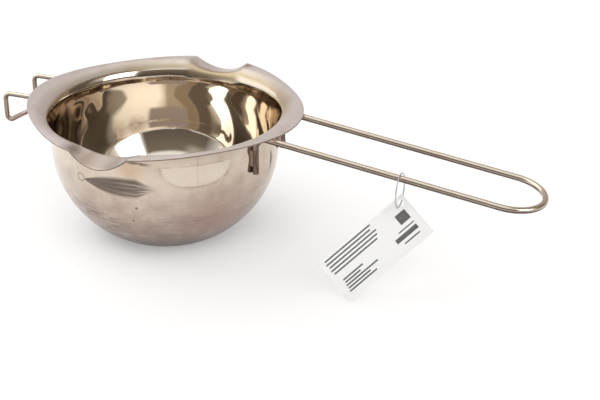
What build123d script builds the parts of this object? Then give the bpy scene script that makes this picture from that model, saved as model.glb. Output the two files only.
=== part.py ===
from build123d import *
import math
import os

# A melting-pot insert that turns a saucepan into a double boiler.
# Millimetres. The origin is the centre of the flat base, on the surface the pot stands on.
# +X runs along the handle, -Y and +Y point at the two pouring spouts, +Z is up.

# Bowl, one pressed sheet: a flat base, a round belly, a short upright wall and a rolled shoulder
sheet = 0.8
bowl_height = 73.6
wall_radius = 64.6
wall_straight = 15.4
base_flat = 32.5
base_corner = 3.0
shoulder_radius = 5.2

# Flange plan, a circle that swells a little at the handle, the hooks and the spouts
flange_width = 12.9
rim_swell = 2.5
rim_lobes = 4
rim_points = 32

# Pouring spouts, one trough pressed into the flange at each end of the Y axis
spout_width = 32.4
spout_depth = 6.8
throat_width = 36.0
throat_depth = 5.0

# Handle, one wire bent to a long U with both ends turned down along the wall
handle_wire_size = 3.5
handle_spacing = 38.8
handle_overhang = 139.6
handle_slope = 7.14
handle_elbow = 5.0
handle_drop = 2.3
handle_leg = 21.9

# Oval facet that the welding electrode leaves on each handle leg
facet_depth = 0.4
facet_sweep = 60.0

# Hooks, two bent wires opposite the handle
hook_wire_size = 2.8
hook_spacing = 31.2
hook_overhang = 16.2
hook_drop = 17.6
hook_corner = 3.4
hook_foot_corner = 2.4
hook_elbow = 3.2
hook_leg = 14.25
hook_brace_rise = 31.0

# Welds
weld_gap = 0.3
weld_width = 3.2
handle_weld_length = 11.0
handle_weld_drop = 12.8
hook_weld_length = 7.0
hook_weld_drop = 8.75
brace_weld_length = 4.0

# Ring that carries the tag, over the near handle rod
ring_wire = 0.7
ring_radius = 9.2
ring_from_end = 74.0
ring_turn = 3.0
ring_clearance = 0.3

# Hang tag, a thin stiff card
tag_width = 26.2
tag_length = 57.6
tag_thickness = 0.5
tag_hole = 3.4
tag_hole_inset = 3.5
tag_ring_angle = 19.7
tag_facing = 17.2
tag_roll = 47.4
floor_clearance = 0.3

# Spare length of the tools that cut and trim
overrun = 5.0

# Worked out from the sizes above
inner_wall = wall_radius - sheet
belly_height = bowl_height - shoulder_radius - wall_straight
belly_in = wall_radius - base_flat
belly_up = belly_height - base_corner
belly_radius = (belly_in ** 2 + belly_up ** 2 - base_corner ** 2) / (2 * (belly_in - base_corner))
belly_centre = wall_radius - belly_radius
rim_mean_radius = wall_radius + flange_width
rim_reach = rim_mean_radius + rim_swell
handle_reach = rim_reach + handle_overhang
hook_reach = rim_reach + hook_overhang
ring_place = handle_reach - ring_from_end
throat_place = inner_wall + shoulder_radius
flange_under = bowl_height - sheet
handle_r = handle_wire_size / 2
hook_r = hook_wire_size / 2
ring_wire_r = ring_wire / 2
slope = math.radians(handle_slope)


def at(radius, height):
    """A point of the bowl's section, in the plane of the X and Z axes."""
    return Vector(radius, 0, height)


def arc(centre, radius, start_deg, end_deg):
    """An arc of the bowl's section, as three points."""
    angles = (start_deg, (start_deg + end_deg) / 2, end_deg)
    turns = [math.radians(angle) for angle in angles]
    points = [centre + Vector(math.cos(turn), 0, math.sin(turn)) * radius for turn in turns]
    return ThreePointArc(*points)


def skin(inset):
    """One side of the sheet from the axis to past the rim, inset from the outside."""
    corner_at = at(base_flat, base_corner)
    belly_at = at(belly_centre, belly_height)
    shoulder_at = at(inner_wall + shoulder_radius, bowl_height - shoulder_radius)
    shoulder = shoulder_radius - sheet + inset
    start = math.degrees(math.atan2(base_corner - belly_height, base_flat - belly_centre))
    pieces = [Line(at(0, inset), at(base_flat, inset))]
    pieces.append(arc(corner_at, base_corner - inset, -90, start))
    pieces.append(arc(belly_at, belly_radius - inset, start, 0))
    pieces.append(Line(at(wall_radius - inset, belly_height), shoulder_at - at(shoulder, 0)))
    pieces.append(arc(shoulder_at, shoulder, 180, 90))
    pieces.append(Line(shoulder_at + at(0, shoulder), at(rim_reach + overrun, flange_under + inset)))
    return pieces


def rim_outline():
    """The plan of the flange: a circle with a gentle cosine swell."""
    points = []
    for step in range(rim_points):
        turn = math.tau * step / rim_points
        radius = rim_mean_radius + rim_swell * math.cos(rim_lobes * turn)
        points.append(Vector(radius * math.cos(turn), radius * math.sin(turn), 0))
    return make_face(Spline(*points, periodic=True))


def spout_section(y, extra):
    """Outline of a trough in the plane across it at y, and of its outside with the sheet added."""
    share = (y - throat_place) / (rim_reach - throat_place)
    half = (throat_width + (spout_width - throat_width) * share) / 2
    depth = throat_depth + (spout_depth - throat_depth) * share
    bend = (half ** 2 + depth ** 2) / (2 * depth)
    edge = math.sqrt((bend + extra) ** 2 - (bend - depth) ** 2)
    top = bowl_height + overrun
    left = Vector(-edge, y, bowl_height)
    right = Vector(edge, y, bowl_height)
    sag = ThreePointArc(left, Vector(0, y, bowl_height - depth - extra), right)
    lid = Polyline(right, Vector(edge, y, top), Vector(-edge, y, top), left)
    return make_face(sag.edges() + lid.edges())


def spout_bar(extra):
    """The inside of a trough as a solid along +Y, or its outside."""
    near = inner_wall - overrun
    far = rim_reach + overrun
    return loft([spout_section(near, extra), spout_section(far, extra)], ruled=True)


def make_bowl():
    """Base, belly, wall, shoulder and flange of one sheet, with a spout front and back."""
    outside = skin(0)
    inside = skin(sheet)
    axis_end = Line(at(0, 0), at(0, sheet))
    rim_end = Line(at(rim_reach + overrun, flange_under), at(rim_reach + overrun, bowl_height))
    section = make_face(outside + inside + [axis_end, rim_end])
    rim = extrude(rim_outline(), bowl_height)
    bowl = revolve(section, Axis.Z) & rim
    flange = rim - Cylinder(inner_wall, bowl_height, align=(Align.CENTER, Align.CENTER, Align.MIN))
    for turn in (0, 180):
        void = Rot(0, 0, turn) * spout_bar(0)
        trough = (Rot(0, 0, turn) * spout_bar(sheet) - void) & flange
        bowl = bowl - void + trough
    return bowl


def rod_height(x):
    """Height of the handle's centre line at a place along X."""
    return bowl_height - handle_drop - (x - inner_wall) * math.tan(slope)


def leg_place(spacing, reach_out):
    """How far along X a leg stands that touches the wall at half the spacing."""
    return math.sqrt(reach_out ** 2 - (spacing / 2) ** 2)


handle_leg_out = wall_radius + weld_gap + handle_r
handle_leg_x = leg_place(handle_spacing, handle_leg_out)
handle_top = rod_height(handle_leg_x)
hook_leg_out = wall_radius + weld_gap + hook_r
hook_leg_x = leg_place(hook_spacing, hook_leg_out)
hook_top = flange_under - weld_gap / 2 - hook_r
hook_out_x = hook_reach - hook_r


def wall_frame(x, y, height):
    """A plane on a leg's centre line that faces straight away from the bowl's axis."""
    outwards = Vector(x, y, 0).normalized()
    return Plane(origin=Vector(x, y, height), x_dir=Vector(0, 0, 1), z_dir=outwards)


def facet_cutter(y):
    """The slice of a large drum that leaves a shallow oval facet on one handle leg."""
    frame = wall_frame(handle_leg_x, y, handle_top - handle_weld_drop)
    drum = Cylinder(facet_sweep, handle_wire_size * 2, rotation=(90, 0, 0))
    length = 2 * math.sqrt(2 * facet_sweep * facet_depth)
    slab = Box(length, handle_wire_size * 2, handle_wire_size)
    drum = Pos(0, 0, handle_r - facet_depth + facet_sweep) * drum
    slab = Pos(0, 0, handle_wire_size) * slab
    return frame * (drum & slab)


def make_handle():
    """Leg, elbow, rod, half round end, and the same again on the other side."""
    half = handle_spacing / 2
    turn_x = handle_reach - handle_r - half
    sides = []
    for y in (-half, half):
        foot = Vector(handle_leg_x, y, handle_top - handle_leg)
        elbow = Vector(handle_leg_x, y, handle_top)
        far = Vector(turn_x, y, rod_height(turn_x))
        sides.append((foot, elbow, far))
    near, other = sides
    tip = Vector(handle_reach - handle_r, 0, rod_height(handle_reach - handle_r))
    path = Wire(
        FilletPolyline(*near, radius=handle_elbow).edges()
        + ThreePointArc(near[2], tip, other[2]).edges()
        + FilletPolyline(*reversed(other), radius=handle_elbow).edges()
    )
    section = Plane(origin=near[0], z_dir=Vector(0, 0, 1)) * Circle(handle_r)
    return sweep(section, path=path) - facet_cutter(-half) - facet_cutter(half)


def hook_points(y):
    """Corners of one hook's centre line, from its leg's foot to the end of its brace."""
    foot_z = hook_top - hook_drop
    rise = math.tan(math.radians(hook_brace_rise))
    clear = hook_r + hook_r / math.cos(math.radians(hook_brace_rise)) + weld_gap
    brace_run = (hook_drop - clear) / rise
    return [
        Vector(-hook_leg_x, y, hook_top - hook_leg),
        Vector(-hook_leg_x, y, hook_top),
        Vector(-hook_out_x, y, hook_top),
        Vector(-hook_out_x, y, foot_z),
        Vector(-hook_out_x + brace_run, y, foot_z + brace_run * rise),
    ]


def make_hook(y):
    """One wire bent to a triangle, with its leg down the wall."""
    points = hook_points(y)
    path = FilletPolyline(*points, radius=(hook_elbow, hook_corner, hook_foot_corner))
    section = Plane(origin=points[0], z_dir=Vector(0, 0, 1)) * Circle(hook_r)
    return sweep(section, path=path)


def leg_weld(x, y, height, length):
    """A pad of weld metal that fills the gap between a leg and the wall."""
    frame = wall_frame(x, y, height)
    pad = extrude(frame * SlotOverall(length, weld_width), -(handle_r + weld_gap + sheet))
    return pad - Cylinder(wall_radius, bowl_height, align=(Align.CENTER, Align.CENTER, Align.MIN))


def make_handle_welds(handle):
    """The two welds of the handle."""
    half = handle_spacing / 2
    height = handle_top - handle_weld_drop
    pads = [leg_weld(handle_leg_x, y, height, handle_weld_length) for y in (-half, half)]
    return Compound([largest(pad - handle) for pad in pads])


def brace_weld(y):
    """A bead between the end of a hook's brace and the run above it."""
    end = hook_points(y)[-1]
    bead = Cylinder(hook_r, brace_weld_length, rotation=(0, 90, 0))
    return Pos(end.X, end.Y, hook_top - hook_r) * bead


def make_hook_welds(hooks):
    """Two welds on each hook: its leg on the wall, and its brace under its top run."""
    pads = []
    height = hook_top - hook_weld_drop
    for y, hook in hooks.items():
        pads.append(largest(leg_weld(-hook_leg_x, y, height, hook_weld_length) - hook))
        pads.append(brace_weld(y) - hook)
    return Compound(pads)


def largest(shape):
    """The largest solid of a shape."""
    return max(shape.solids(), key=lambda solid: solid.volume)


ring_axis = Vector(math.cos(math.radians(ring_turn)), math.sin(math.radians(ring_turn)), 0)
ring_side = Vector(-ring_axis.Y, ring_axis.X, 0)
ring_drop = ring_radius - ring_wire_r - ring_clearance - handle_r / math.cos(slope)
ring_centre = Vector(ring_place, -handle_spacing / 2, rod_height(ring_place) - ring_drop)


def make_ring():
    """A closed ring of thin wire round the rod, hanging plumb."""
    return Plane(origin=ring_centre, z_dir=ring_axis) * Torus(ring_radius, ring_wire_r)


def tag_plane():
    """The card's own frame at its hole: x across, y up along its length, z its face."""
    swing = math.radians(tag_ring_angle)
    aside = ring_side * (ring_radius * math.sin(swing))
    hole = ring_centre + aside - Vector(0, 0, ring_radius * math.cos(swing))
    roll = math.radians(tag_roll)
    right = tag_width - tag_hole_inset
    down = tag_length - tag_hole_inset
    reach = right * math.sin(roll) + down * math.cos(roll) + tag_thickness / 2
    lean = math.acos(min(1, (hole.Z - floor_clearance) / reach))
    facing = math.radians(tag_facing)
    front = Vector(math.sin(facing), -math.cos(facing), 0)
    level = Vector(math.cos(facing), math.sin(facing), 0)
    face = front * math.cos(lean) + Vector(0, 0, math.sin(lean))
    downhill = front * math.sin(lean) - Vector(0, 0, math.cos(lean))
    across = level * math.cos(roll) + downhill * math.sin(roll)
    return Plane(origin=hole, x_dir=across, z_dir=face)


def make_tag():
    """A plain card with one hole near its top corner."""
    card = Box(tag_width, tag_length, tag_thickness, align=(Align.MIN, Align.MAX, Align.CENTER))
    hole = Cylinder(tag_hole / 2, tag_thickness * 2)
    return tag_plane() * (Pos(-tag_hole_inset, tag_hole_inset, 0) * card - hole)


def write_parts():
    """Make each piece and write it under its own name."""
    hooks = {y: make_hook(y) for y in (-hook_spacing / 2, hook_spacing / 2)}
    handle = make_handle()
    nodes = {
        "bowl": make_bowl(),
        "handle_wire": handle,
        "front_hook": hooks[-hook_spacing / 2],
        "rear_hook": hooks[hook_spacing / 2],
        "handle_welds": make_handle_welds(handle),
        "hook_welds": make_hook_welds(hooks),
        "tag_ring": make_ring(),
        "hang_tag": make_tag(),
    }
    os.makedirs("parts", exist_ok=True)
    for name, shape in nodes.items():
        export_step(shape, f"parts/{name}.step")
        print(name, "solids", len(shape.solids()), "volume", round(shape.volume, 1))


write_parts()
frame = tag_plane()
print("ring centre", ring_centre)
print("tag hole", frame.origin, "across", frame.x_dir, "face", frame.z_dir)
print("belly radius", round(belly_radius, 2), "ring place", round(ring_place, 2))
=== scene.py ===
# %% [markdown]
# # A double boiler insert
#
# This is a small steel bowl for melting chocolate. It hangs in a saucepan by a
# long wire handle and two wire hooks, and it has a flat flange with a pouring
# spout on each side. A blank card tag swings from a thin ring on the handle.
#
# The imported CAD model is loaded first. It says where everything is, in metres:
# the origin is the centre of the base, +X runs along the handle, and +Z is up.

# %% Load the frame
import bpy
import bmesh
import math
from mathutils import Matrix, Vector


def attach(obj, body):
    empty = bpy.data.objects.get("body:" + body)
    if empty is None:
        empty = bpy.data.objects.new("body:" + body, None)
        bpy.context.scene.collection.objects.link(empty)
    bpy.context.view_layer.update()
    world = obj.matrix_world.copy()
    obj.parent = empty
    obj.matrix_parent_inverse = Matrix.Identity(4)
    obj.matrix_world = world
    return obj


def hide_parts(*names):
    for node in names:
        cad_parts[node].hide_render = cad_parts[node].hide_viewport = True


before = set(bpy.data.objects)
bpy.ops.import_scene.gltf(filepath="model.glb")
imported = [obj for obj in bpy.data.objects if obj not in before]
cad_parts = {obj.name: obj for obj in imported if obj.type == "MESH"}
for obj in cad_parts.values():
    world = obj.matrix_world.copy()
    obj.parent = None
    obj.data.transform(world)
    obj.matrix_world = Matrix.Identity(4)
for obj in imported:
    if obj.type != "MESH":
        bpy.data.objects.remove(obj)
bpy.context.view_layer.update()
mm = 0.001

# %% [markdown]
# ## Camera
#
# The bowl is seen from a little to the right of its front spout, from 26 degrees
# above. A camera can be aimed with a Track To constraint, but a view that was
# measured can be written down at once: the columns of a camera's matrix are its
# right, up and backward directions. A long lens keeps the bowl from stretching.

# %% Place the camera
eye = Vector((0.32639, -0.62821, 0.35806))
right = Vector((0.9307, 0.3656, 0.0069)).normalized()
ahead = Vector((-0.3256, 0.8371, -0.4396)).normalized()
lens_length = 80.71
film_width = 36
mirror_bounces = 12

above = right.cross(ahead).normalized()
right = ahead.cross(above)
camera_data = bpy.data.cameras.new("camera")
camera_data.lens = lens_length
camera_data.sensor_width = film_width
camera = bpy.data.objects.new("camera", camera_data)
bpy.context.scene.collection.objects.link(camera)
turn = Matrix((right, above, -ahead)).transposed()
camera.matrix_world = Matrix.Translation(eye) @ turn.to_4x4()
bpy.context.scene.camera = camera
bpy.context.scene.view_settings.view_transform = "Standard"
bpy.context.scene.cycles.glossy_bounces = mirror_bounces
print("camera looks down", round(math.degrees(math.asin(-ahead.z)), 1), "degrees")

# %% [markdown]
# ## A way to write shader maths
#
# A pattern such as "rough near the base, smooth above" is a sum of numbers that
# change over a surface. In Blender each plus or times is a Math node, and a row
# of them is hard to read. So one small class wraps a socket: adding or
# multiplying two of these adds the Math node. Its last methods are the steps,
# bands and lines that the finishes below are drawn with.

# %% A number that changes over a surface
class Amount:
    """A number that changes over a surface: one socket of a node tree."""

    def __init__(self, tree, socket):
        self.tree = tree
        self.socket = socket

    def combine(self, operation, first, second, clamp=False):
        node = self.tree.nodes.new("ShaderNodeMath")
        node.operation = operation
        node.use_clamp = clamp
        for place, value in enumerate((first, second)):
            if isinstance(value, Amount):
                self.tree.links.new(value.socket, node.inputs[place])
            else:
                node.inputs[place].default_value = value
        return Amount(self.tree, node.outputs[0])

    def __add__(self, other):
        return self.combine("ADD", self, other)

    def __sub__(self, other):
        return self.combine("SUBTRACT", self, other)

    def __rsub__(self, other):
        return self.combine("SUBTRACT", other, self)

    def __mul__(self, other):
        return self.combine("MULTIPLY", self, other)

    def __truediv__(self, other):
        return self.combine("DIVIDE", self, other)

    def __rtruediv__(self, other):
        return self.combine("DIVIDE", other, self)

    def __pow__(self, other):
        return self.combine("POWER", self, other)

    def __abs__(self):
        return self.combine("ABSOLUTE", self, 0)

    __radd__ = __add__
    __rmul__ = __mul__

    def least(self, other):
        return self.combine("MINIMUM", self, other)

    def most(self, other):
        return self.combine("MAXIMUM", self, other)

    def turn_from(self, ahead):
        """The angle in degrees of a direction that goes this far aside and so far ahead."""
        return self.combine("ARCTAN2", self, ahead) * math.degrees(1)

    def rise(self, low, high):
        """0 below low, 1 above high and straight between. High may be the smaller one."""
        return self.combine("MULTIPLY", self - low, 1 / (high - low), clamp=True)

    def band(self, low, high, low_edge, high_edge):
        """1 between low and high, with soft edges of these widths inside them."""
        return self.rise(low, low + low_edge) * self.rise(high, high - high_edge)

    def line(self, width):
        """1 where the number is 0, and nothing from this width on, to either side."""
        return (1 - abs(self) / width).most(0)


def length(across, along):
    """How long a step across and along is."""
    return (across ** 2 + along ** 2) ** 0.5


print("shader maths ready")

# %% [markdown]
# ## A way to add nodes
#
# Colours, noise and shaders need other kinds of node. They could be dragged
# together in the node editor, but a script can be read and run again. So a
# second class adds any node from its kind, its settings and its sockets.

# %% A node tree
class Tree:
    """A node tree in the making."""

    def __init__(self, tree):
        self.tree = tree

    def add(self, kind, settings=None, sockets=None):
        """A node of any kind: its settings first, then its sockets' values or links."""
        node = self.tree.nodes.new(kind)
        for name, value in (settings or {}).items():
            setattr(node, name, value)
        for name, value in (sockets or {}).items():
            self.put(node.inputs[name], value)
        return node

    def put(self, socket, value):
        """A link or a value into a socket."""
        if isinstance(value, Amount):
            value = value.socket
        if isinstance(value, bpy.types.NodeSocket):
            self.tree.links.new(value, socket)
        elif socket.type == "RGBA" and len(value) == 3:
            socket.default_value = (*value, 1)
        else:
            socket.default_value = value

    def blend(self, amount, first, second):
        """The first colour where the amount is 0, and the second where it is 1."""
        node = self.add("ShaderNodeMix", {"data_type": "RGBA"}, {0: amount})
        self.put(node.inputs[6], first)
        self.put(node.inputs[7], second)
        return node.outputs[2]

    def coats(self, ground, *layers):
        """A colour with others over it. A layer is how much of it shows, and its colour."""
        for amount, colour in layers:
            ground = self.blend(amount, ground, colour)
        return ground

    def mirrored(self):
        """1 where the camera sees it, straight or in a polished or clear surface."""
        path = self.add("ShaderNodeLightPath").outputs
        kinds = ("Is Camera Ray", "Is Glossy Ray", "Is Transmission Ray")
        camera_ray, glossy_ray, through_ray = (Amount(self.tree, path[kind]) for kind in kinds)
        return camera_ray.most(glossy_ray).most(through_ray)


print("node tree ready")

# %% [markdown]
# ## A way to make a material
#
# Each material starts from the Principled shader and from Object coordinates.
# Generated coordinates stretch with a piece's box, and camera coordinates slide
# when the view turns. Object coordinates are plain places on the pot, in metres,
# so a stain stays on the steel where it was put.

# %% A material
class Finish(Tree):
    """A material in the making, with the coordinates that its patterns read."""

    def __init__(self, name):
        self.material = bpy.data.materials.new(name)
        self.material.use_nodes = True
        super().__init__(self.material.node_tree)
        self.shader = self.tree.nodes["Principled BSDF"]
        self.spot = self.add("ShaderNodeTexCoord").outputs["Object"]
        parts = self.add("ShaderNodeSeparateXYZ", {}, {0: self.spot})
        self.x, self.y, self.z = (Amount(self.tree, out) for out in parts.outputs)

    def stretch(self, scale, place=(0, 0, 0)):
        """The coordinates made longer or shorter each way, and moved."""
        sockets = {"Vector": self.spot, "Location": place, "Scale": scale}
        return self.add("ShaderNodeMapping", {}, sockets).outputs[0]

    def vector(self, *parts):
        """Three numbers as one place."""
        return self.add("ShaderNodeCombineXYZ", {}, dict(enumerate(parts))).outputs[0]

    def cloud(self, scale, detail=3, spot=None, rough=0.5):
        """Soft noise from 0 to 1."""
        sockets = {"Vector": spot or self.spot, "Scale": scale, "Detail": detail,
                   "Roughness": rough}
        return Amount(self.tree, self.add("ShaderNodeTexNoise", {}, sockets).outputs["Fac"])

    def bumps(self, height, distance, strength):
        """A normal that is tilted by small heights."""
        sockets = {"Height": height, "Distance": distance, "Strength": strength}
        return self.add("ShaderNodeBump", {}, sockets).outputs[0]

    def mix(self, amount, first, second):
        """The first shader where the amount is 0, and the second where it is 1."""
        sockets = {0: amount, 1: first.outputs[0], 2: second.outputs[0]}
        return self.add("ShaderNodeMixShader", {}, sockets)

    def cover(self, shader):
        """The material, with this shader in place of its own."""
        self.put(self.tree.nodes["Material Output"].inputs["Surface"], shader.outputs[0])
        return self.material

    def set(self, **sockets):
        """The material, with these values or links in its own shader."""
        for name, value in sockets.items():
            self.put(self.shader.inputs[name.replace("_", " ")], value)
        return self.material


print("materials ready")

# %% [markdown]
# ## Floor
#
# The pot stands on white paper that runs on into a white room. The steel would
# mirror the edge of a plane, so the paper is a wide round sheet that fades out.
# A little glow, which only the camera and reflections see, makes it white
# without more light on the pot. There is less of it under the bowl, so that the
# shadow stays.

# %% Floor
floor_radius = 2.0
fade_start, fade_end = 0.9, 1.7
shade_start, shade_end = 35 * mm, 85 * mm
glow_under, glow_beside = 0.3, 0.25


def lay_bare():
    """Nothing selected, and no mesh open."""
    if bpy.context.object and bpy.context.object.mode != "OBJECT":
        bpy.ops.object.mode_set(mode="OBJECT")
    bpy.ops.object.select_all(action="DESELECT")


lay_bare()
bpy.ops.mesh.primitive_circle_add(vertices=96, radius=floor_radius, fill_type="NGON")
floor = bpy.context.object
floor.name = "floor"
paper = Finish("floor_paper")
paper.set(Base_Color=(0.96, 0.955, 0.95), Roughness=0.9, Specular_IOR_Level=0.0)
white_glow = paper.add("ShaderNodeEmission", {}, {"Color": (1, 0.998, 0.996), "Strength": 1.09})
reach = length(paper.x, paper.y)
glow_share = glow_under + glow_beside * reach.rise(shade_start, shade_end)
lit = paper.mix(glow_share * paper.mirrored(), paper.shader, white_glow)
gone = paper.add("ShaderNodeBsdfTransparent")
floor.data.materials.append(paper.cover(paper.mix(reach.rise(fade_start, fade_end), lit, gone)))
print("floor fades into white from", fade_start, "m")

# %% [markdown]
# ## World
#
# The room behind the pot is white. A plain white world would also light the pot
# from every side and wash out its shadows. So the world is white only where the
# camera or a reflection looks, and it gives the pot less than half of that light.

# %% World
room_light = 0.42
room_tone = (1, 0.972, 0.956)

world = bpy.data.worlds.new("studio")
bpy.context.scene.world = world
world.use_nodes = True
sky = Tree(world.node_tree)
seen = sky.mirrored()
backdrop = sky.tree.nodes["Background"]
sky.put(backdrop.inputs["Color"], sky.blend(seen, room_tone, (1, 1, 1)))
sky.put(backdrop.inputs["Strength"], seen * (1 - room_light) + room_light)
print("world lights the object at", room_light, "and shows as white")

# %% [markdown]
# ## Lamps
#
# Three big soft lamps light the paper, the tag and the shadows. A point lamp or
# a sun would give a hard shadow, and this pot's is soft, so they are area lamps.
# The camera and reflections don't see them: the cards below are there for that.

# %% Lamps
aim = Vector((0, 0, 0.06))


def softbox(name, azimuth, elevation, distance, width, height, glow):
    """A soft lamp that faces the bowl. Azimuth 0 is in front of the front spout."""
    lamp = bpy.data.lights.new(name, "AREA")
    lamp.shape = "RECTANGLE"
    lamp.size = width
    lamp.size_y = height
    lamp.energy = glow * math.pi * width * height
    holder = bpy.data.objects.new(name, lamp)
    bpy.context.scene.collection.objects.link(holder)
    around, up = math.radians(azimuth), math.radians(elevation)
    level = Vector((math.sin(around), -math.cos(around), 0)) * math.cos(up)
    away = level + Vector((0, 0, math.sin(up)))
    holder.location = aim + away * distance
    holder.rotation_euler = away.to_track_quat("Z", "Y").to_euler()
    holder.visible_camera = False
    holder.visible_glossy = False


softbox("lamp_right", azimuth=77, elevation=30, distance=1.5, width=1.15, height=1.05, glow=1.2)
softbox("lamp_left", azimuth=-105, elevation=44, distance=1.7, width=2.2, height=1.7, glow=2.2)
softbox("lamp_front", azimuth=25, elevation=55, distance=1.8, width=1.2, height=1.2, glow=1.7)
print("three soft lamps")

# %% [markdown]
# ## Cards for the steel to mirror
#
# Polished steel shows the room more than itself, and in an empty white room it
# looks like white plastic. A picture of a room could be put into the world, but
# cards are easier to move. Each is a part of a tube that stands round the bowl:
# a cylinder without ends, of which the faces outside two azimuths are deleted.

# %% Shape of a card
def bent_card(name, around, up, distance):
    """A card between two azimuths and two heights, all seen from the bowl, in degrees."""
    bottom, top = (distance * math.tan(math.radians(height)) for height in up)
    lay_bare()
    bpy.ops.mesh.primitive_cylinder_add(
        vertices=144, radius=distance, depth=top - bottom, end_fill_type="NOTHING",
        location=(0, 0, (top + bottom) / 2))
    panel = bpy.context.object
    panel.name = name
    bpy.ops.object.transform_apply(location=True)
    bpy.ops.object.mode_set(mode="EDIT")
    mesh = bmesh.from_edit_mesh(panel.data)
    for face in mesh.faces:
        middle = face.calc_center_median()
        azimuth = math.degrees(math.atan2(middle.x, -middle.y))
        face.select_set((azimuth - around[0]) % 360 >= around[1] - around[0])
    bmesh.update_edit_mesh(panel.data)
    bpy.ops.mesh.delete(type="FACE")
    lay_bare()
    return panel


print("card shape ready")

# %% [markdown]
# ## Finish of a card
#
# A hard edge on a card draws a hard line in the steel. Real cards are out of
# focus in a curved mirror, so each one glows in a plain shade and fades into
# nothing along its edges. Only reflections see a card, so it shades nothing.

# %% Finish of a card, and the cards
def card_finish(name, around, up, shades, soft, distance):
    """A glow from the lower shade to the upper one, with a soft edge at each side."""
    finish = Finish(name)
    middle = math.radians(sum(around) / 2)
    half = (around[1] - around[0]) / 2
    beside = finish.x * math.cos(middle) + finish.y * math.sin(middle)
    facing = finish.x * math.sin(middle) - finish.y * math.cos(middle)
    height = finish.z.turn_from(distance)
    whole = beside.turn_from(facing).band(-half, half, *soft[:2])
    whole = whole * height.band(*up, *soft[2:])
    shade = {"Color": finish.blend(height.rise(*up), *shades)}
    glow = finish.add("ShaderNodeEmission", {}, shade)
    gone = finish.add("ShaderNodeBsdfTransparent")
    return finish.cover(finish.mix(whole, gone, glow))


def card(name, around, up, shades, soft, distance):
    """A card that only reflections see."""
    panel = bent_card(name, around, up, distance)
    panel.data.materials.append(card_finish(name, around, up, shades, soft, distance))
    panel.visible_camera = False
    panel.visible_diffuse = False
    panel.visible_shadow = False
    panel.visible_transmission = False


card("card_behind_camera", around=(-48, 58), up=(3, 45), soft=(26, 5, 2, 3), distance=2.2,
     shades=((0.078, 0.064, 0.052), (0.235, 0.20, 0.163)))
card("card_right_high", around=(52, 95), up=(45, 76), soft=(5, 4, 1, 8), distance=2.1,
     shades=((0.30, 0.25, 0.19), (0.42, 0.36, 0.28)))
card("card_right_wall", around=(90, 142), up=(2, 74), soft=(2, 5, 1, 8), distance=2.2,
     shades=((0.17, 0.14, 0.115), (0.21, 0.175, 0.14)))
card("card_right_corner", around=(136, 167), up=(2, 76), soft=(4, 4, 1, 6), distance=2.15,
     shades=((0.37, 0.29, 0.21), (0.43, 0.345, 0.25)))
card("card_back_wall", around=(161, 252), up=(2, 76), soft=(4, 30, 1, 6), distance=2.25,
     shades=((0.47, 0.39, 0.31), (0.68, 0.585, 0.465)))
card("card_back_low", around=(157, 247), up=(8, 45), soft=(7, 8, 3, 7), distance=1.8,
     shades=((0.44, 0.375, 0.365), (0.50, 0.43, 0.41)))
card("card_right_low", around=(52, 116), up=(4, 21), soft=(4, 12, 2, 2), distance=1.7,
     shades=((0.17, 0.14, 0.12), (0.40, 0.35, 0.29)))
card("glow_left", around=(200, 322), up=(6, 80), soft=(30, 14, 8, 8), distance=1.9,
     shades=((1.3, 1.25, 1.19), (1.8, 1.73, 1.63)))
card("glow_right", around=(57, 93), up=(14, 46), soft=(1.5, 1.5, 1, 1), distance=1.6,
     shades=((3.4, 3.35, 3.25), (3.6, 3.6, 3.55)))
card("glow_right_edge", around=(88, 113), up=(8, 44), soft=(1, 19, 4, 3), distance=1.95,
     shades=((0.75, 0.71, 0.65), (1.2, 1.15, 1.07)))
card("glow_front_left", around=(-52, 5), up=(33, 62), soft=(8, 13, 6, 8), distance=2.0,
     shades=((0.44, 0.40, 0.35), (0.60, 0.56, 0.50)))
print("seven grey cards and four bright ones")

# %% [markdown]
# ## Sizes of the bowl
#
# The finishes and the shape share these sizes, so they come first. The CAD's
# shoulder is an upright wall with a small bend. The real sheet flares a little
# before it goes over in a wider bend, so the flare and the roll are added here.

# %% Sizes of the bowl
sheet = 0.8 * mm
bowl_height = 73.6 * mm
inner_wall = 63.8 * mm
wall_straight = 15.4 * mm
base_flat = 32.5 * mm
base_corner = 3.0 * mm
belly_radius = 60.51 * mm
shoulder_radius = 5.2 * mm
flare_radius = 32 * mm
flare_turn = 13
roll_radius = 9.0 * mm
rim_mean = 77.5 * mm
rim_swell = 2.5 * mm
belly_height = bowl_height - shoulder_radius - wall_straight
belly_centre = inner_wall + sheet - belly_radius
shoulder_place = inner_wall + shoulder_radius
# Azimuth from the front spout in degrees, then height, width and depth in millimetres
weld_dents = ((-76.4, 53, 5.2, 0.7), (-103.6, 53, 5.2, 0.7), (73.1, 58, 3.8, 0.35),
              (106.9, 58, 3.8, 0.35))
print("bowl", round(bowl_height / mm, 1), "mm high")

# %% [markdown]
# ## Marks on the steel
#
# Steel is metallic, so its colour is the colour of what it mirrors, times its
# own tint. One tint all over looks like paint: real steel has smudges, scratches
# and stains. A painted picture could hold them, but a distance from a place is
# simpler. Near the place the mark is full, and noise makes its edge ragged.

# %% A mark round a place
def spot_near(finish, place, inner, outer, ragged=0.0):
    """1 within the inner distance of a place and 0 past the outer one, in millimetres."""
    sockets = {0: finish.spot, 1: tuple(part * mm for part in place)}
    apart = finish.add("ShaderNodeVectorMath", {"operation": "DISTANCE"}, sockets)
    apart = Amount(finish.tree, apart.outputs["Value"])
    if ragged:
        apart = apart + (finish.cloud(110, 4) - 0.5) * ragged * mm
    return apart.rise(outer * mm, inner * mm)


def round_place(azimuth, reach, height):
    """A place in millimetres at an azimuth from the front spout."""
    turn = math.radians(azimuth)
    return (reach * math.sin(turn), -reach * math.cos(turn), height)


print("marks ready")

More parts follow.
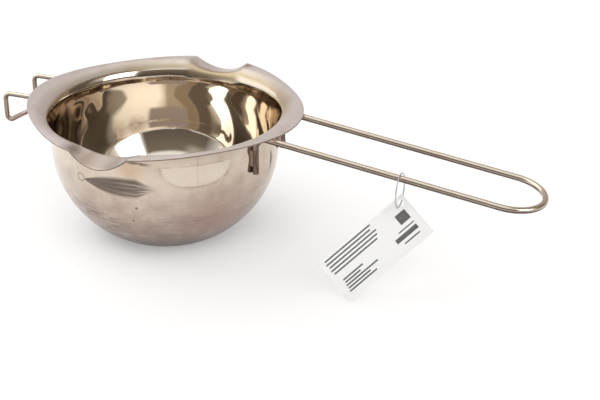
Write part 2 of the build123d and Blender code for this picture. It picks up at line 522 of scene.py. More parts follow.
# %% [markdown]
# ## Flange
#
# The press held the flange while it drew the bowl, which left it dull and pale.
# It could have a material of its own, but then its edge would follow the faces.
# A mask that grows with the distance from the axis gives a soft, smudged edge
# instead, and a second one adds the floors of the two spouts.

# %% Where the flange is
satin_start, satin_full = 65.8 * mm, 66.8 * mm
smudge_width = 0.8 * mm

inside = Finish("polished_inside")
away = length(inside.x, inside.y)
across = abs(inside.x)
smudge = inside.cloud(34, 4)
flange = (away + (smudge - 0.5) * smudge_width).rise(satin_start, satin_full)
spout_floor = away.rise(63.85 * mm, 64.6 * mm) * across.rise(19 * mm, 14 * mm)
spout_floor = spout_floor * abs(inside.y).rise(55 * mm, 56 * mm)
flange = flange.most(spout_floor) * inside.z.rise(64 * mm, 67 * mm)
print("flange is satin from", round(satin_full / mm, 1), "mm out")

# %% [markdown]
# ## Colour of the flange
#
# The satin steel is nearly white. On it lie small grey blotches, brown stains with
# painted shade in the creases at the corners of the spouts, a greyer trough in the
# front spout, a duller left end and a painted golden shade at the back, a painted
# reflection of the back wall. One painted map could hold all of these, but as
# coats, one over the other, each can be changed by itself.

# %% Satin steel
dull_satin, bright_satin = (0.90, 0.88, 0.875), (0.99, 0.98, 0.975)
blotch_grey = (0.55, 0.45, 0.40)
stain_and_shade_brown = (0.27, 0.19, 0.14)
trough_grey = (0.64, 0.57, 0.53)
left_grey = (0.74, 0.70, 0.68)
brow_shade_gold = (0.53, 0.43, 0.28)
# Brown at each spout corner: partly a stain, partly painted shade in the creases.
corner_stain_and_shade_places = (((-17.8, -73.5, 72), 8, 0.75), ((17.0, -70, 70.5), 6, 0.5),
                 ((17.8, 73.5, 72), 7, 0.6), ((-17.0, 70, 70.5), 6, 0.4))

stain_and_shade_layers = [(spot_near(inside, place, inner=1, outer=outer, ragged=5) * strength, stain_and_shade_brown)
          for place, outer, strength in corner_stain_and_shade_places]
trough = across.rise(15 * mm, 9 * mm) * inside.y.rise(0, -10 * mm)
trough = trough * inside.z.rise(bowl_height - 2 * mm, bowl_height - 4 * mm)
# Painted golden shade on the back of the flange, a painted reflection of the back wall.
brow_shade = away.rise(73 * mm, 66.5 * mm) * inside.y.rise(0, 30 * mm)
brow_shade = brow_shade * inside.x.rise(-62 * mm, -48 * mm)
satin = inside.coats(
    inside.blend(smudge, dull_satin, bright_satin),
    (inside.cloud(70, 3).rise(0.55, 0.75) * 0.3, blotch_grey),
    *stain_and_shade_layers,
    (trough * 0.9, trough_grey),
    (inside.x.rise(-35 * mm, -70 * mm) * 0.45, left_grey),
    (brow_shade * 0.95, brow_shade_gold),
)
print("satin flange")

# %% [markdown]
# ## Colour of the polished inside
#
# The inside is a mirror with a faint warm tint. Behind each weld the heat has
# browned it, its left end is painted darker and cloudy as a painted dark reflection,
# and the shoulder is a little hazy.
# The browned spots could be placed by eye, but they read the same list as the
# dents that the welds left, so the two always meet.

# %% Polished steel
warm_steel, pale_steel = (0.75, 0.68, 0.585), (0.80, 0.74, 0.65)
heat_brown = (0.40, 0.32, 0.255)
left_reflection_grey = (0.25, 0.21, 0.185)
hazy_gold = (0.63, 0.54, 0.44)

weld_places = [round_place(turn, inner_wall / mm, height) for turn, height, _, _ in weld_dents]
heat = [(spot_near(inside, place, inner=8, outer=24, ragged=12) * 0.75, heat_brown)
        for place in weld_places]
# The left end painted darker and cloudy: a painted dark reflection.
left_dark_reflection = inside.x.rise(-44 * mm, -59 * mm) * (0.12 + 0.4 * inside.cloud(60, 3))
hazy = (away + (smudge - 0.5) * 3 * mm).rise(64.4 * mm, 66.2 * mm)
polish = inside.coats(
    inside.blend(inside.cloud(20, 2), warm_steel, pale_steel),
    *heat,
    (left_dark_reflection, left_reflection_grey),
    (hazy * 0.7, hazy_gold),
)
print("polished inside")

# %% [markdown]
# ## Shine of the inside
#
# The difference between satin and polish is roughness: a low one mirrors sharply
# and a high one blurs. The same flange mask picks it, and picks the bumps too:
# fine grain on the flange, and slow ripples in the mirror, as drawn sheet has.

# %% Inside finish
satin_rough = 0.36 + 0.12 * smudge
polish_rough = 0.03 + 0.03 * smudge + hazy * 0.07
grain = inside.cloud(900, 2) * flange * 0.03
ripple = inside.cloud(30, 2, inside.stretch((1, 1, 0.55))) * (1 - flange)
inside.set(
    Base_Color=inside.blend(flange, polish, satin),
    Metallic=1.0,
    Roughness=flange * satin_rough + (1 - flange) * polish_rough,
    Normal=inside.bumps(grain + ripple, 0.5 * mm, 0.6),
)
print("inside finish")

# %% [markdown]
# ## Colour of the outside
#
# The outside is older steel with dark and light blotches. Its left end is painted
# pale, a painted reflection of the bright floor and lamp at the left, and it is
# painted darker and browner towards the base, a painted shade from the shadow on
# the floor that it mirrors. Noise of two sizes gives the patina and blotches: a
# slow one for the patina and a fast one for the blotches. Height and length along
# X say where each of them is strong.

# %% Patina
brown_steel, light_steel = (0.575, 0.475, 0.385), (0.70, 0.60, 0.51)
left_light_white = (0.92, 0.85, 0.76)
low_shade_brown = (0.355, 0.265, 0.228)
dark_blotch, light_blotch = (0.31, 0.22, 0.185), (0.70, 0.62, 0.53)
pink_brown = (0.42, 0.275, 0.235)
tan_brown = (0.55, 0.38, 0.24)

outside = Finish("polished_outside")
patina = outside.cloud(24, 4)
blotch = outside.cloud(85, 5, rough=0.6)
# The lower part, rougher and brushed, also carries a painted shade: darker and browner towards the
# base.
low = outside.z.rise(56 * mm, 8 * mm)
# Painted light: the left end paler, as it mirrors the bright floor and lamp there.
left_painted_light = outside.x.rise(-20 * mm, -60 * mm)
pink = spot_near(outside, round_place(52, 58, 29), inner=6, outer=24, ragged=16)
tan = spot_near(outside, (11, -63.6, 62), inner=3, outer=11, ragged=8)
ground = outside.coats(
    outside.blend(patina.rise(0.35, 0.65), brown_steel, light_steel),
    (left_painted_light * 0.72, left_light_white),
    ((low * (0.7 + 0.7 * patina)).least(1), low_shade_brown),
    (blotch.rise(0.5, 0.72) * (0.25 + 0.6 * low), dark_blotch),
    (blotch.rise(0.46, 0.3) * 0.45, light_blotch),
    (pink * 0.55, pink_brown),
    (tan * 0.7, tan_brown),
)
print("patina")

# %% [markdown]
# ## Scratches
#
# A pot that is slid about gets fine scratches round its lower half. Drawing each
# one would take long. Noise that is squeezed hard in height turns into thin,
# nearly level streaks, and a second, slow noise says in which patches they show.

# %% Fine scratches and pits
scratch_brown = (0.085, 0.065, 0.055)
pits = ((12.4, -61.5, 38.1), (8.8, -58.9, 29.0), (-24, -53.5, 30.5), (-31, 46, 24))

flow = outside.vector(outside.x * 130, outside.y * 130, outside.z * 1300 + outside.x * 160)
streaks = outside.cloud(1, 3, flow).rise(0.51, 0.57)
patches = outside.cloud(38, 3, outside.stretch((1, 1, 1), (0.02, 0, 0)))
patches = (patches + 0.14 * outside.x.rise(-18 * mm, -34 * mm)).rise(0.44, 0.58)
patches = patches * (0.25 + 0.75 * outside.x.rise(10 * mm, -22 * mm))
patches = patches * outside.z.band(5 * mm, 38 * mm, 5 * mm, 10 * mm)
scratches = patches * streaks
for pit in pits:
    scratches = scratches.most(spot_near(outside, pit, inner=0.4, outer=1.1, ragged=1.5))
ground = outside.blend(scratches * 0.9, ground, scratch_brown)
print("scratches and", len(pits), "pits")

# %% [markdown]
# ## Brushed foot
#
# The foot of the bowl was turned against a brush, which left lines round it. A
# painted contact shade makes it nearly black where it meets the worktop. Noise
# that reads the direction from the axis, and height much magnified, makes such lines.

# %% Brushed foot
brush_brown = (0.28, 0.205, 0.175)
contact_shade_black = (0.09, 0.065, 0.058)

away = length(outside.x, outside.y)
around_foot = outside.vector(outside.x / away * 3, outside.y / away * 3, outside.z * 700)
turned_lines = outside.cloud(1, 4, around_foot)
# Painted contact shade: nearly black where the foot meets the worktop.
foot = outside.z.rise(16 * mm, 4 * mm)
ground = outside.coats(
    ground,
    (turned_lines.rise(0.5, 0.7) * low * 0.35, brush_brown),
    (foot * foot * 0.9, contact_shade_black),
)
print("brushed foot")

# %% [markdown]
# ## Painted reflections under the spouts
#
# Under each spout lies a painted reflection of the spout's dark underside, as a
# shallow dent there would mirror it: a dark fan, which opens from a narrow root and
# ends raggedly, and a small ring at the root. A mesh on top would show its edge,
# so both are drawn in the shader. The fan is a share along its length and a
# height over its own half width, and the ring is a line round a place.

# %% Fans and rings
fan_root = 18.5 * mm
fan_length = 42 * mm
fan_half_width = 6.0 * mm
fan_height = 50.4 * mm
ring_root = 20.5 * mm
ring_height = 50.8 * mm
mark_ring = 2.2 * mm
mark_line = 0.5 * mm
reflection_black = (0.09, 0.068, 0.057)

# The fan and the ring are painted reflections of the spout's dark underside.
side = outside.y.rise(5 * mm, -5 * mm) * 2 - 1
share = ((outside.x * side + fan_root) / fan_length).most(0.001)
swell = (share / 0.6).least(1)
half = swell * (2 - swell) * fan_half_width * share.rise(1.03, 0.76).most(0.02)
beside = (outside.z - fan_height) / half
ragged = outside.cloud(1, 3, outside.vector(beside * 8, share * 2, 0))
ribs = outside.cloud(1, 2, outside.vector(beside * 4.5, share * 1.2, 3)).rise(0.36, 0.56)
fan = abs(beside).rise(1.08, 0.7) * share.rise(0.0, 0.03)
fan = fan * (share + (ragged - 0.5) * 0.6).rise(1.0, 0.84)
fan = fan * (1 - (1 - ribs) * (0.1 + 0.5 * share.rise(0.45, 0.9)))
ring_reflection = length(outside.x * side + ring_root, outside.z - ring_height) - mark_ring
ring_reflection = ring_reflection.line(mark_line)
ground = outside.blend((fan * 0.88).most(ring_reflection * 0.75), ground, reflection_black)
print("fan marks", round(fan_length / mm), "mm long")

# %% [markdown]
# ## A painted reflection on the front
#
# Right of the front spout lies a painted reflection: a pale patch with a darker
# outline, flat on top and round below, and a faint stem. The patch is a squarish
# oval, which a power above 2 gives. It is drawn in degrees round the bowl and in
# height, so it lies on the wall without being stretched.

# %% Painted reflection
patch_azimuth = 41.5
patch_half_turn = 17.7
patch_top = 63 * mm
patch_depth = 12.5 * mm
squareness = 2.4
patch_reflection_gold, patch_outline_brown = (0.76, 0.67, 0.56), (0.26, 0.20, 0.16)

# A painted reflection: a pale patch with a darker outline and a faint stem.
azimuth = outside.x.turn_from(-1 * outside.y)
beside = abs((azimuth - patch_azimuth) / patch_half_turn)
drop = (patch_top - outside.z) / patch_depth
patch_shape = (beside ** squareness + drop.most(0) ** squareness) ** 0.42
outline = (patch_shape - 1).line(0.085) * drop.rise(-0.02, 0.05)
outline = outline.most(drop.line(0.06) * beside.rise(1.05, 0.9))
stem = beside.line(0.035) * drop.rise(1.1, 0.9) * 0.6
patch_reflection = patch_shape.rise(1.0, 0.9) * drop.rise(-0.03, 0.05)
uneven = blotch.rise(0.3, 0.6) * 0.42
ground = outside.coats(
    ground,
    (patch_reflection * 0.45, patch_reflection_gold),
    (outline.most(stem) * uneven, patch_outline_brown),
)
print("drip at", patch_azimuth, "degrees")

# %% [markdown]
# ## A painted shade under the flange, and the shine of the outside
#
# One short painted shade lies under the front flange, a dark reflection of the
# flange. A strip of mesh would stand off the steel, so this is a line in the
# shader, which slopes a little, stops at both ends and is broken up by noise. With
# it the colour is complete. Roughness and bumps follow the same masks: rougher and
# brushed near the base, and lower where a scratch runs.

# %% Stroke and outside finish
stroke_left, stroke_right = 7 * mm, 23 * mm
stroke_height = 66.4 * mm
stroke_line = 1.4 * mm
flange_shade_black = (0.10, 0.07, 0.05)

# Painted shade under the front flange: a dark line, the flange's dark reflection.
flange_shade_stroke = outside.z - stroke_height + (outside.x - 8 * mm) * 0.12
flange_shade_stroke = flange_shade_stroke.line(stroke_line) * outside.y.rise(-50 * mm, -55 * mm)
flange_shade_stroke = flange_shade_stroke * outside.x.band(stroke_left, stroke_right, 3 * mm, 5 * mm)
broken = outside.cloud(1, 2, outside.vector(outside.x * 180, 0, outside.z * 900))
ground = outside.blend(flange_shade_stroke * broken.rise(0.3, 0.5), ground, flange_shade_black)
outside.set(
    Base_Color=ground,
    Metallic=1.0,
    Roughness=0.07 + 0.07 * patina + low * (0.10 + 0.16 * turned_lines) + fan * 0.15,
    Normal=outside.bumps(turned_lines * low - scratches, 0.03 * mm, 0.4),
)
print("outside finish")

# %% [markdown]
# ## Cut edge of the sheet
#
# The rim was cut by a die, and its edge is darker and rougher than the faces. A
# mask could find it, but the step that gives the sheet its thickness makes these
# faces new, and can give them a material of their own.

# %% Edge finish
edge = Finish("cut_edge")
edge.set(
    Base_Color=edge.blend(edge.cloud(300, 2), (0.17, 0.125, 0.10), (0.36, 0.29, 0.25)),
    Metallic=1.0,
    Roughness=0.25 + 0.2 * edge.cloud(500, 2),
)
print("edge finish")

# %% [markdown]
# ## Section of the bowl
#
# The bowl is one round sheet drawn in a press. A sphere could be pushed into
# shape, but its bends would be guesses. So it is made as a turner would draw it:
# half a section of the inner face, from the middle of the base to the rim, in
# straight runs and arcs that meet smoothly.

# %% Section
base_shares = (0.3, 0.6, 0.85, 1)


def line_points(start, end, steps):
    """Points on a straight run of the section, without its first one."""
    return [(start[0] + (end[0] - start[0]) * step / steps,
             start[1] + (end[1] - start[1]) * step / steps) for step in range(1, steps + 1)]


def arc_points(centre, radius, start, end, steps):
    """Points on an arc of the section, from one direction in degrees to another."""
    turns = [math.radians(start + (end - start) * step / steps) for step in range(1, steps + 1)]
    return [(centre[0] + radius * math.cos(turn), centre[1] + radius * math.sin(turn))
            for turn in turns]


foot_turn = math.degrees(math.atan2(base_corner - belly_height, base_flat - belly_centre))
flare_bend = math.radians(flare_turn)
roll_height = bowl_height - roll_radius
flare_foot = roll_height + (roll_radius - flare_radius) * math.sin(flare_bend)
roll_place = (inner_wall + flare_radius * (1 - math.cos(flare_bend))
              + roll_radius * math.cos(flare_bend))

section = [(0, sheet)] + [(base_flat * share, sheet) for share in base_shares]
section += arc_points((base_flat, base_corner), base_corner - sheet, -90, foot_turn, steps=4)
section += arc_points((belly_centre, belly_height), belly_radius - sheet, foot_turn, 0, steps=44)
section += line_points((inner_wall, belly_height), (inner_wall, flare_foot), steps=4)
section += arc_points((inner_wall + flare_radius, flare_foot), flare_radius,
                      180, 180 - flare_turn, steps=8)
section += arc_points((roll_place, roll_height), roll_radius, 180 - flare_turn, 90, steps=16)
section += line_points((roll_place, bowl_height), (rim_mean, bowl_height), steps=5)
print("section of", len(section), "points, flat from", round(roll_place / mm, 2), "mm")

# %% [markdown]
# ## Spin the section
#
# A point is extruded from place to place along the section, and the line that
# it leaves is spun once round the upright axis. The Screw modifier can do this
# too, but Spin closes the turn at once. Then the doubles are merged at the seam
# and in the middle, and the faces are turned outwards.

# %% Spin
spin_steps = 450
merge_reach = 0.01 * mm

lay_bare()
bpy.ops.mesh.primitive_plane_add(size=1 * mm)
bowl = bpy.context.object
bowl.name = "melting_bowl"
bpy.ops.object.mode_set(mode="EDIT")
bpy.ops.mesh.merge(type="CENTER")
bpy.ops.transform.translate(value=(0, 0, sheet))
for (radius, height), (next_radius, next_height) in zip(section, section[1:]):
    step = (next_radius - radius, 0, next_height - height)
    bpy.ops.mesh.extrude_region_move(TRANSFORM_OT_translate={"value": step})
bpy.ops.mesh.select_all(action="SELECT")
bpy.ops.mesh.spin(steps=spin_steps, angle=math.tau, center=(0, 0, 0), axis=(0, 0, 1),
                  use_auto_merge=True)
bpy.ops.mesh.select_all(action="SELECT")
bpy.ops.mesh.remove_doubles(threshold=merge_reach)
bpy.ops.mesh.normals_make_consistent(inside=False)
lay_bare()
print("bowl has", len(bowl.data.polygons), "faces")

# %% [markdown]
# ## Flange and spouts
#
# The flange isn't quite round: it swells at the handle, the hooks and the
# spouts. Each spout is a trough that was pressed into it, round across and
# deeper outwards. A boolean would leave a sharp, untidy edge, and no single
# operator gives these shapes. So each point is moved by two short formulas: out
# to the swelling plan, and down to the trough, with a soft corner between.

# %% Press the flange and the spouts
rim_lobes = 4
spout_width, spout_depth = 32.4 * mm, 6.8 * mm
throat_width, throat_depth = 36.0 * mm, 5.0 * mm
press_depth, press_start = 7 * mm, 55 * mm
sharp_corner, more_at_throat = 0.3 * mm, 2.7 * mm
throat_place, throat_fade = 69.5 * mm, 4 * mm


def spout_height(across, out):
    """Height of the spout's floor at a place across it and out from the axis."""
    share = (out - shoulder_place) / (rim_mean + rim_swell - shoulder_place)
    half = (throat_width + (spout_width - throat_width) * share) / 2
    depth = throat_depth + (spout_depth - throat_depth) * share
    bend = (half ** 2 + depth ** 2) / (2 * depth)
    if abs(across) >= bend:
        return bowl_height + bend
    return bowl_height - depth + bend - math.sqrt(bend ** 2 - across ** 2)


def lower_of(first, second, softness):
    """The lower of two heights, with a rounded corner where they meet."""
    near = max(softness - abs(first - second), 0) / softness
    return min(first, second) - near ** 2 * softness / 4


def clamp(value):
    """The value kept between 0 and 1."""
    return min(max(value, 0), 1)


for point in bowl.data.vertices:
    place = point.co
    reach = math.hypot(place.x, place.y)
    if reach > roll_place:
        plan = rim_mean + rim_swell * math.cos(rim_lobes * math.atan2(place.y, place.x))
        share = (reach - roll_place) / (rim_mean - roll_place)
        wanted = roll_place + (plan - roll_place) * share
        place.x *= wanted / reach
        place.y *= wanted / reach
    if place.z > bowl_height - press_depth and abs(place.y) > press_start:
        inwards = clamp((throat_place - abs(place.y)) / throat_fade)
        softness = sharp_corner + more_at_throat * inwards
        place.z = lower_of(place.z, spout_height(place.x, abs(place.y)), softness)
print("spouts", round(spout_depth / mm, 1), "mm deep")

# %% [markdown]
# ## Dents and waves
#
# Each weld pushed the thin wall outwards a little, and a drawn wall is never
# quite even. They hardly show in shape, but they bend every reflection. Sculpting
# would do, but can't be repeated. So a dent is a bell curve with a faint rim,
# and the waves are three sines whose numbers don't share a step.

# %% Dents and waves in the wall
floor_reach = 30 * mm
wall_top, top_fade = 70 * mm, 8 * mm
wave_foot, wave_fade = 22 * mm, 30 * mm
wave_height = 0.022 * mm
# How many waves go round the bowl, how strong they are, and where they start
waves = ((11, 1, 0.7), (19, 0.7, 2.1), (31, 0.5, 4.0))


def dent(place, azimuth, height, size, depth):
    """How far outwards a round dent pushes the wall at a place."""
    away = math.atan2(place.x, -place.y) - math.radians(azimuth)
    away = math.atan2(math.sin(away), math.cos(away)) * inner_wall
    spread = (away ** 2 + (place.z - height * mm) ** 2) / (size * mm) ** 2
    return depth * mm * (1 - spread / 2) * math.exp(-spread / 2)


for point in bowl.data.vertices:
    place = point.co
    reach = math.hypot(place.x, place.y)
    if reach < floor_reach or place.z > wall_top:
        continue
    around = math.atan2(place.x, -place.y)
    wave = sum(strength * math.sin(count * around + start) for count, strength, start in waves)
    push = wave_height * wave * clamp((place.z - wave_foot) / wave_fade)
    push += sum(dent(place, *weld_dent) for weld_dent in weld_dents)
    push *= clamp((wall_top - place.z) / top_fade)
    place.x *= 1 + push / reach
    place.y *= 1 + push / reach
print(len(weld_dents), "weld dents and a slightly waved wall")

# %% [markdown]
# ## Thickness of the sheet
#
# So far the bowl is only its inner face. Solidify gives it the sheet's thickness
# to the outside, and gives the new face and the rim their own materials. A small
# bevel breaks the cut edge, because no real edge is perfectly sharp. Modelling a
# second skin by hand would never stay parallel.

# %% Give the sheet its thickness
def pick(piece):
    """Only this piece selected, and active."""
    lay_bare()
    piece.select_set(True)
    bpy.context.view_layer.objects.active = piece


def apply_modifier(piece, kind, **settings):
    """Adds a modifier, sets it and applies it."""
    pick(piece)
    modifier = piece.modifiers.new(kind.lower(), kind)
    for name, value in settings.items():
        setattr(modifier, name, value)
    bpy.ops.object.modifier_apply(modifier=modifier.name)


def smooth(piece, sharpest):
    """Smooth shading, but not over an edge that turns more than this many degrees."""
    pick(piece)
    bpy.ops.object.shade_smooth_by_angle(angle=math.radians(sharpest))


for finish in (inside, outside, edge):
    bowl.data.materials.append(finish.material)
apply_modifier(bowl, "SOLIDIFY", thickness=sheet, offset=-1, use_even_offset=False,
               material_offset=1, material_offset_rim=2)
apply_modifier(bowl, "BEVEL", width=0.12 * mm, segments=2, limit_method="ANGLE",
               angle_limit=math.radians(65))
smooth(bowl, sharpest=42)
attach(bowl, "pot")
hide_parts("bowl")
print("bowl has", len(bowl.data.polygons), "faces, height", round(bowl.dimensions.z / mm, 2), "mm")

# %% [markdown]
# ## Wires
#
# The handle and the hooks are drawn steel wire bent round pegs. A curve with a
# bevel makes a wire too, but its bends are hard to set to a radius. Here a
# circle is the wire's section: extruding its edge makes a straight run, and
# spinning it round a peg's axis makes a bend. The same two steps, from corner to
# corner, make every wire, and then the ends are closed and their edge broken.

# %% A wire along its corners
bend_step = 5
fewest_steps = 8
shortest_run = 0.05 * mm
end_bevel_share = 0.18
wire_merge = 0.002 * mm


def bend_wire(name, radius, corners, bends, run_step):
    """A round wire from the first corner to the last, with a bend at each one between."""
    corners = [Vector(corner) for corner in corners]
    here = corners[0]
    heading = (corners[1] - here).normalized()
    lay_bare()
    bpy.ops.mesh.primitive_circle_add(
        vertices=28, radius=radius, location=here,
        rotation=heading.to_track_quat("Z", "Y").to_euler())
    wire = bpy.context.object
    wire.name = name
    bpy.ops.object.transform_apply(location=True, rotation=True)
    bpy.ops.object.mode_set(mode="EDIT")
    for corner, after, bend in zip(corners[1:], corners[2:] + [None], list(bends) + [0]):
        turned = (after - corner).normalized() if after else heading
        angle = heading.angle(turned) if after else 0
        straight = (corner - here).length - bend * math.tan(angle / 2)
        steps = max(1, round(straight / run_step))
        if straight > shortest_run:
            step = {"value": heading * straight / steps}
            for _ in range(steps):
                bpy.ops.mesh.extrude_region_move(TRANSFORM_OT_translate=step)
        if after:
            axis = heading.cross(turned).normalized()
            peg = here + heading * straight + axis.cross(heading) * bend
            turns = max(fewest_steps, round(math.degrees(angle) / bend_step))
            bpy.ops.mesh.spin(steps=turns, angle=-angle, center=peg, axis=axis)
            here = corner + turned * bend * math.tan(angle / 2)
            heading = turned
    close_ends(wire, radius * end_bevel_share)
    return wire


def close_ends(wire, bevel):
    """Closes both ends of an open wire and takes off their sharp edge."""
    bpy.ops.mesh.select_all(action="SELECT")
    bpy.ops.mesh.remove_doubles(threshold=wire_merge)
    bpy.ops.mesh.fill_holes(sides=0)
    bpy.ops.mesh.normals_make_consistent(inside=False)
    bpy.ops.mesh.select_all(action="DESELECT")
    mesh = bmesh.from_edit_mesh(wire.data)
    for face in mesh.faces:
        if len(face.verts) > 4:  # only the two caps
            face.select_set(True)
    bmesh.update_edit_mesh(wire.data)
    bpy.ops.mesh.bevel(offset=bevel, segments=2)
    smooth(wire, sharpest=40)


print("wire maker ready")

# %% [markdown]
# ## Handle
#
# The handle is one wire, bent to a long U that slopes down, with both ends turned
# down along the wall. Half of it could be mirrored, but that leaves a seam. So
# only its corners are mirrored, from the near side to the far one. Its round end
# is two bends that meet, each with half the gap as its radius.

# %% Handle
weld_gap = 0.3 * mm
handle_radius = 1.75 * mm
half_gap = 19.4 * mm
handle_slope = math.radians(7.14)
handle_drop = 2.3 * mm
handle_leg = 21.9 * mm
handle_bend = 6.2 * mm
handle_tip = 219.6 * mm
handle_leg_x = math.sqrt((inner_wall + sheet + weld_gap + handle_radius) ** 2 - half_gap ** 2)
handle_end = handle_tip - handle_radius


def rod_height(x):
    """Height of the handle's centre line at a place along X."""
    return bowl_height - handle_drop - (x - inner_wall) * math.tan(handle_slope)


handle_top = rod_height(handle_leg_x)
near_side = [
    (handle_leg_x, -half_gap, handle_top - handle_leg),
    (handle_leg_x, -half_gap, handle_top),
    (handle_end, -half_gap, rod_height(handle_end)),
]
far_side = [(x, -y, z) for x, y, z in reversed(near_side)]
handle = bend_wire("handle_loop", handle_radius, near_side + far_side,
                   (handle_bend, half_gap, half_gap, handle_bend), run_step=0.8 * mm)
print("handle", round(handle.dimensions.x / mm, 1), "mm long")

# %% [markdown]
# ## Facets on the handle's legs
#
# The welding electrode pressed a shallow oval facet on the outer side of each
# leg. A boolean with a big cylinder would cut it, but leaves long thin faces.
# Here the points that stick out past a slightly curved limit are moved in, which
# keeps the wire's own faces. That is why its straight runs have short steps.

# %% Press the facets
facet_depth = 0.4 * mm
facet_curve = 120 * mm
weld_height = handle_top - 12.8 * mm
leg_reach = handle_leg_x + 2.5 * mm
leg_top = handle_top - 4 * mm

for point in handle.data.vertices:
    place = point.co
    if place.x < leg_reach and place.z < leg_top:
        side = math.copysign(half_gap, place.y)
        outwards = Vector((handle_leg_x, side, 0)).normalized()
        out = (place - Vector((handle_leg_x, side, place.z))).dot(outwards)
        limit = handle_radius - facet_depth + (place.z - weld_height) ** 2 / facet_curve
        if out > limit:
            place -= outwards * (out - limit)
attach(handle, "pot")
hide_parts("handle_wire")
print("facets at", round(weld_height / mm, 1), "mm")

# %% [markdown]
# ## Hooks
#
# Opposite the handle two thinner wires hang the pot on the pan's rim. Each is
# bent to a triangle: up along the wall, out under the flange, down, and back up
# as a brace that stops just under the top run. The second could be a copy of the
# first, but one function for both is as short, and each gets a mesh of its own.

# %% Hooks
hook_radius = 1.4 * mm
hook_half_gap = 15.6 * mm
hook_tip = 96.19 * mm
hook_drop = 17.6 * mm
hook_leg = 14.25 * mm
hook_bends = (6.5 * mm, 3.4 * mm, 2.4 * mm)
seat_gap = 0.15 * mm
brace = math.radians(31)
hook_leg_x = math.sqrt((inner_wall + sheet + weld_gap + hook_radius) ** 2 - hook_half_gap ** 2)
hook_top = bowl_height - sheet - seat_gap - hook_radius
hook_out = hook_tip - hook_radius
hook_foot = hook_top - hook_drop
brace_rise = hook_drop - hook_radius - hook_radius / math.cos(brace) - weld_gap


def make_hook(name, y):
    """One hook at a place along Y."""
    corners = [
        (-hook_leg_x, y, hook_top - hook_leg),
        (-hook_leg_x, y, hook_top),
        (-hook_out, y, hook_top),
        (-hook_out, y, hook_foot),
        (-hook_out + brace_rise / math.tan(brace), y, hook_foot + brace_rise),
    ]
    return bend_wire(name, hook_radius, corners, hook_bends, run_step=2 * mm)


for name, node, y in (("hook_near", "front_hook", -hook_half_gap),
                      ("hook_far", "rear_hook", hook_half_gap)):
    hook = make_hook(name, y)
    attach(hook, "pot")
    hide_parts(node)
print("two hooks", round(hook.dimensions.x / mm, 1), "mm long")

# %% [markdown]
# ## Finish of the wires
#
# The wires are painted bright on top and nearly black below: a painted highlight
# and painted shade, for the light from above. Two materials would meet in a hard
# line. The surface's own normal says how far it looks up, and a little noise makes
# the change uneven. The legs and the hooks' feet are darker.

# %% Tint of the wires
under_shade_black, top_highlight_gold = (0.13, 0.09, 0.068), (0.78, 0.70, 0.59)
foot_brown, leg_brown = (0.33, 0.23, 0.19), (0.15, 0.11, 0.09)

drawn = Finish("drawn_wire")
normal = drawn.add("ShaderNodeNewGeometry").outputs["Normal"]
upward = Amount(drawn.tree, drawn.add("ShaderNodeSeparateXYZ", {}, {0: normal}).outputs[2])
# Painted highlight on top and painted shade below, by how far the normal looks up.
painted_top_light = (upward + drawn.cloud(60, 3) * 0.4).rise(-0.02, 0.78)
hook_feet = drawn.x.rise(-70 * mm, -80 * mm) * drawn.z.rise(71 * mm, 62 * mm)
hook_feet = hook_feet * drawn.cloud(200, 2).rise(0.2, 0.6)
legs = drawn.x.band(0, 70 * mm, 1 * mm, 4 * mm) * drawn.z.rise(67 * mm, 63 * mm)
wire_tint = drawn.coats(
    drawn.blend(painted_top_light, under_shade_black, top_highlight_gold),
    (hook_feet * 0.75, foot_brown),
    (legs * 0.92, leg_brown),
)
print("wires tinted")

# %% [markdown]
# ## Scorch round the facets
#
# The weld's heat left a dark line round each facet. The facet is an oval, so its
# outline is where a place's distance, counted in half widths and half lengths of
# the oval, is 1. That needs no extra mesh and stays with the facet.

# %% Scorch and wire finish
facet_half_width, facet_half_length = 1.25 * mm, 6.4 * mm
scorch_black = (0.10, 0.05, 0.035)

outwards = Vector((handle_leg_x, half_gap, 0)).normalized()
across_leg = (drawn.x - handle_leg_x) * outwards.y - (abs(drawn.y) - half_gap) * outwards.x
oval = length(across_leg / facet_half_width, (drawn.z - weld_height) / facet_half_length)
uneven = (0.6 + 0.8 * drawn.cloud(300, 3)).least(1)
scorch = (oval - 1).line(0.45) * uneven
wire_tint = drawn.blend(scorch * legs, wire_tint, scorch_black)
grain = drawn.cloud(240, 3, drawn.stretch((0.12, 1, 1)))
drawn.set(
    Base_Color=wire_tint,
    Metallic=1.0,
    Roughness=0.14 + 0.14 * grain,
    Normal=drawn.bumps(grain, 0.02 * mm, 0.3),
)
for name in ("handle_loop", "hook_near", "hook_far"):
    bpy.data.objects[name].data.materials.append(drawn.material)
print("wires finished")

# %% [markdown]
# ## Finish of the welds
#
# The welds are small lumps of fused steel between wire and wall, browned by the
# heat. New meshes could be made, but the CAD has them already, so these stay and
# only their material changes: rough, blotched and dull.

# %% Finish of the welds
scorched = Finish("weld_scorch")
scorched.set(
    Base_Color=scorched.blend(scorched.cloud(700, 3), (0.30, 0.22, 0.16), (0.55, 0.47, 0.40)),
    Metallic=1.0,
    Roughness=0.3 + 0.3 * scorched.cloud(500, 2),
    Normal=scorched.bumps(scorched.cloud(600, 3), 0.1 * mm, 0.5),
)
for name in ("handle_welds", "hook_welds"):
    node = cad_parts[name]
    node.data.materials.clear()
    node.data.materials.append(scorched.material)
print("welds finished")

# %% [markdown]
# ## Ring
#
# A thin wire ring goes over the near rod and through the tag's hole. A torus
# would be whole, but real rings have a gap where their ends meet. So a small
# circle is spun round the ring's axis, not quite once, and its ends are closed.

